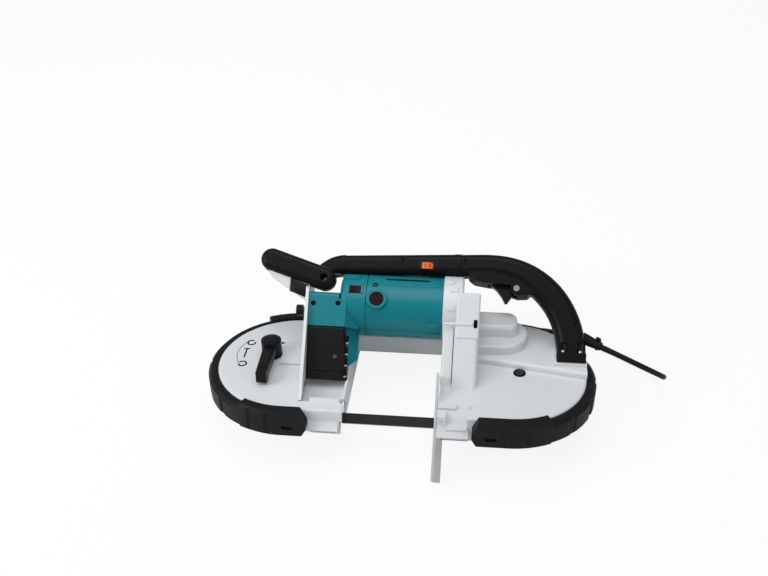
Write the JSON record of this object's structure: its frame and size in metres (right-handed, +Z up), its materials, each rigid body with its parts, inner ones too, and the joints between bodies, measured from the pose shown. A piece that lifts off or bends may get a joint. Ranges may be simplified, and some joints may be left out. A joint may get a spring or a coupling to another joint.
{
  "type": "portable band saw",
  "caption": "Portable corded band saw: cast frame with two wheel housings, blade loop across the throat, motor, geared drive, stop plate, lamp, grip and bow handle.",
  "frame": {"origin": "bottom centre of the saw's box as it lies on its far edge and the stop plate's foot, without the cord", "axes": "+X along the blade towards the drive wheel, +Y away from the blade, +Z up from the floor"},
  "size_m": [0.6145, 0.3999, 0.1596],
  "materials": {
    "frame_paint": "pale grey satin paint on cast metal",
    "bumper_rubber": "matt black rubber",
    "teal_plastic": "satin teal plastic",
    "black_plastic": "satin black plastic",
    "switch_plastic": "dark gloss plastic",
    "orange_plastic": "orange plastic",
    "carbon": "pressed carbon",
    "lamp_glass": "frosted tube glass",
    "gear_steel": "machined steel",
    "wheel_metal": "turned cast metal",
    "tyre_rubber": "smooth black rubber",
    "blade_steel": "blued spring steel",
    "roller_steel": "ground steel",
    "plate_steel": "bright plated steel",
    "cord_rubber": "matt black cord sheath"
  },
  "bodies": {
    "frame": {"main_frame": "frame_paint", "bumper_left": "bumper_rubber", "bumper_right": "bumper_rubber", "gear_case": "frame_paint", "gear_cover": "frame_paint", "motor_housing": "teal_plastic", "motor_end_cover": "teal_plastic", "field_core": "gear_steel", "bearing_rear": "gear_steel", "bearing_front": "gear_steel", "brush_near": "carbon", "brush_far": "carbon", "brush_cap_near": "black_plastic", "brush_cap_far": "black_plastic", "lamp_housing": "teal_plastic", "lamp_cover": "black_plastic", "lamp_tube": "lamp_glass", "grip_bracket": "frame_paint", "front_grip": "black_plastic", "handle_link": "black_plastic", "handle_near": "black_plastic", "handle_far": "black_plastic", "switch_body": "black_plastic", "guide_block_left": "frame_paint", "guide_block_right": "frame_paint", "saw_blade": "blade_steel", "stop_bolt_near": "plate_steel", "stop_bolt_far": "plate_steel", "cord_guard": "cord_rubber", "cord_lead": "cord_rubber", "cord_coil": "cord_rubber", "cord_tie": "cord_rubber", "plug": "cord_rubber"},
    "armature": {"armature": "gear_steel", "motor_fan": "black_plastic"},
    "layshaft": {"layshaft": "gear_steel", "first_gear": "gear_steel"},
    "countershaft": {"countershaft": "gear_steel", "bevel_gear": "gear_steel"},
    "drive_wheel": {"drive_shaft": "gear_steel", "final_gear": "gear_steel", "drive_wheel": "wheel_metal", "drive_tyre": "tyre_rubber"},
    "tension_slide": {"tension_slide": "gear_steel", "idler_axle": "gear_steel"},
    "idler_wheel": {"idler_wheel": "wheel_metal", "idler_tyre": "tyre_rubber"},
    "tension_lever": {"tension_lever": "black_plastic", "tension_cam": "gear_steel"},
    "trigger": {"trigger": "black_plastic"},
    "lock_button": {"lock_button": "black_plastic"},
    "speed_dial": {"speed_dial": "orange_plastic"},
    "lamp_switch": {"lamp_switch": "switch_plastic"},
    "stop_plate": {"stop_plate": "plate_steel"},
    "guide_roller_left_near": {"guide_roller_left_near": "roller_steel"},
    "guide_roller_left_far": {"guide_roller_left_far": "roller_steel"},
    "guide_roller_right_near": {"guide_roller_right_near": "roller_steel"},
    "guide_roller_right_far": {"guide_roller_right_far": "roller_steel"}
  },
  "joints": [
    {"name": "drive_wheel_spin", "type": "hinge", "parent": "frame", "child": "drive_wheel", "pos_m": [0.1569, -0.00235, 0.03562], "axis": [0, 0.2356, 0.9718], "continuous": true},
    {"name": "countershaft_spin", "type": "hinge", "parent": "frame", "child": "countershaft", "pos_m": [0.13893, 0.07613, 0.06342], "axis": [0, 0.2356, 0.9718], "continuous": true},
    {"name": "layshaft_spin", "type": "hinge", "parent": "frame", "child": "layshaft", "pos_m": [0.085, 0.07613, 0.06342], "axis": [1, 0, 0], "continuous": true},
    {"name": "armature_spin", "type": "hinge", "parent": "frame", "child": "armature", "pos_m": [0, 0.0832, 0.09257], "axis": [1, 0, 0], "continuous": true},
    {"name": "tension_travel", "type": "slide", "parent": "frame", "child": "tension_slide", "axis": [1, 0, 0], "range_m": [0, 0.004]},
    {"name": "idler_wheel_spin", "type": "hinge", "parent": "tension_slide", "child": "idler_wheel", "pos_m": [-0.1569, -0.00235, 0.03562], "axis": [0, 0.2356, 0.9718], "continuous": true},
    {"name": "tension_lever_turn", "type": "hinge", "parent": "frame", "child": "tension_lever", "pos_m": [-0.176, 0.01912, 0.069], "axis": [0, 0.2356, 0.9718], "range_deg": [-180, 0]},
    {"name": "trigger_pull", "type": "hinge", "parent": "frame", "child": "trigger", "pos_m": [0.117, 0.12709, 0.11933], "axis": [0, -0.5206, 0.8538], "range_deg": [0, 8], "stiffness_Nm_per_rad": 0.5, "springref_deg": -8.02},
    {"name": "lock_button_press", "type": "slide", "parent": "frame", "child": "lock_button", "axis": [0, 0.5206, -0.8538], "range_m": [0, 0.003], "stiffness_N_per_m": 200, "springref_m": -0.002},
    {"name": "speed_dial_turn", "type": "hinge", "parent": "frame", "child": "speed_dial", "pos_m": [0.027, 0.13031, 0.12364], "axis": [0, 0.8538, 0.5206], "range_deg": [0, 270]},
    {"name": "lamp_switch_rock", "type": "hinge", "parent": "frame", "child": "lamp_switch", "pos_m": [-0.0655, 0.07479, 0.13019], "axis": [0, 0.8538, 0.5206], "range_deg": [-7, 7]},
    {"name": "stop_plate_travel", "type": "slide", "parent": "frame", "child": "stop_plate", "axis": [0, 0.8538, 0.5206], "range_m": [0, 0.04]},
    {"name": "guide_roller_left_near_spin", "type": "hinge", "parent": "frame", "child": "guide_roller_left_near", "pos_m": [-0.09025, -0.08449, 0.05958], "axis": [0, 0.8538, 0.5206], "continuous": true},
    {"name": "guide_roller_left_far_spin", "type": "hinge", "parent": "frame", "child": "guide_roller_left_far", "pos_m": [-0.09025, -0.07871, 0.0501], "axis": [0, 0.8538, 0.5206], "continuous": true},
    {"name": "guide_roller_right_near_spin", "type": "hinge", "parent": "frame", "child": "guide_roller_right_near", "pos_m": [0.074, -0.08449, 0.05958], "axis": [0, 0.8538, 0.5206], "continuous": true},
    {"name": "guide_roller_right_far_spin", "type": "hinge", "parent": "frame", "child": "guide_roller_right_far", "pos_m": [0.074, -0.07871, 0.0501], "axis": [0, 0.8538, 0.5206], "continuous": true}
  ],
  "couplings": [
    {"joint": "countershaft_spin", "follows": "drive_wheel_spin", "ratio": -7},
    {"joint": "layshaft_spin", "follows": "drive_wheel_spin", "ratio": 18.2},
    {"joint": "armature_spin", "follows": "drive_wheel_spin", "ratio": -72.8},
    {"joint": "idler_wheel_spin", "follows": "drive_wheel_spin", "ratio": 1},
    {"joint": "tension_lever_turn", "follows": "tension_travel", "rad_per_m": -785.4},
    {"joint": "guide_roller_left_near_spin", "follows": "drive_wheel_spin", "ratio": -16.31},
    {"joint": "guide_roller_left_far_spin", "follows": "drive_wheel_spin", "ratio": 16.31},
    {"joint": "guide_roller_right_near_spin", "follows": "drive_wheel_spin", "ratio": -16.31},
    {"joint": "guide_roller_right_far_spin", "follows": "drive_wheel_spin", "ratio": 16.31}
  ]
}
